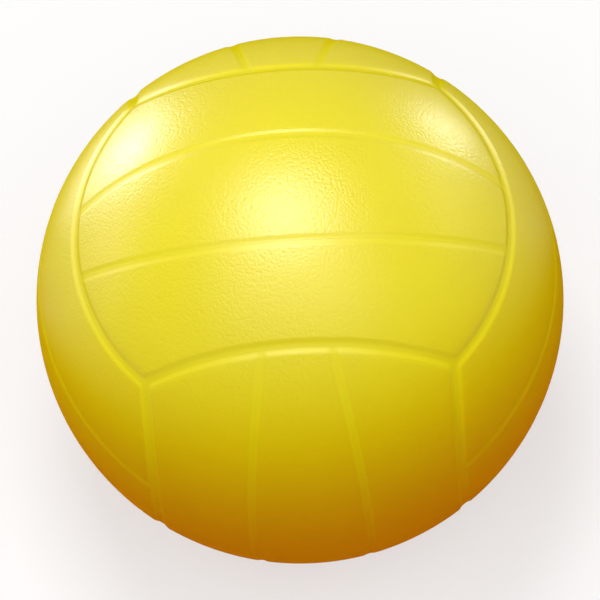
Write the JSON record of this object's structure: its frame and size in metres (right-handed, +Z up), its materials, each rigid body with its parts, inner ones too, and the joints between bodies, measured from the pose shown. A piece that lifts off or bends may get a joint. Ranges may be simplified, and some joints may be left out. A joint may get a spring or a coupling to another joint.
{
  "type": "volleyball",
  "caption": "Round inflatable volleyball with a pebbled yellow cover of strip panels in crossing groups, bonded over a wound carcass, with a bladder and a pull-out valve core.",
  "frame": {"origin": "centre of the ball", "axes": "+Z up through the middle of the top panel group, -Z out of the small flat the ball rests on, +Y out of the valve, +X to the right with the valve at the back"},
  "size_m": [0.21, 0.2097, 0.2096],
  "materials": {
    "cover": "pebble-grained yellow vinyl, satin",
    "carcass": "smooth yellow rubber",
    "winding": "wound nylon thread",
    "bladder": "black butyl rubber",
    "valve": "dark moulded rubber"
  },
  "bodies": {
    "ball": {"panel_top_front": "cover", "panel_top_middle": "cover", "panel_top_back": "cover", "panel_bottom_front": "cover", "panel_bottom_middle": "cover", "panel_bottom_back": "cover", "panel_front_left": "cover", "panel_front_middle": "cover", "panel_front_right": "cover", "panel_back_left": "cover", "panel_back_middle": "cover", "panel_back_right": "cover", "panel_right_lower": "cover", "panel_right_middle": "cover", "panel_right_upper": "cover", "panel_left_lower": "cover", "panel_left_middle": "cover", "panel_left_upper": "cover", "carcass": "carcass", "winding": "winding", "bladder": "bladder", "valve_seat": "valve"},
    "valve_core": {"valve_core": "valve"}
  },
  "joints": [
    {"name": "valve_core_slide", "type": "slide", "parent": "ball", "child": "valve_core", "axis": [0, 1, 0], "range_m": [0, 0.022]}
  ]
}
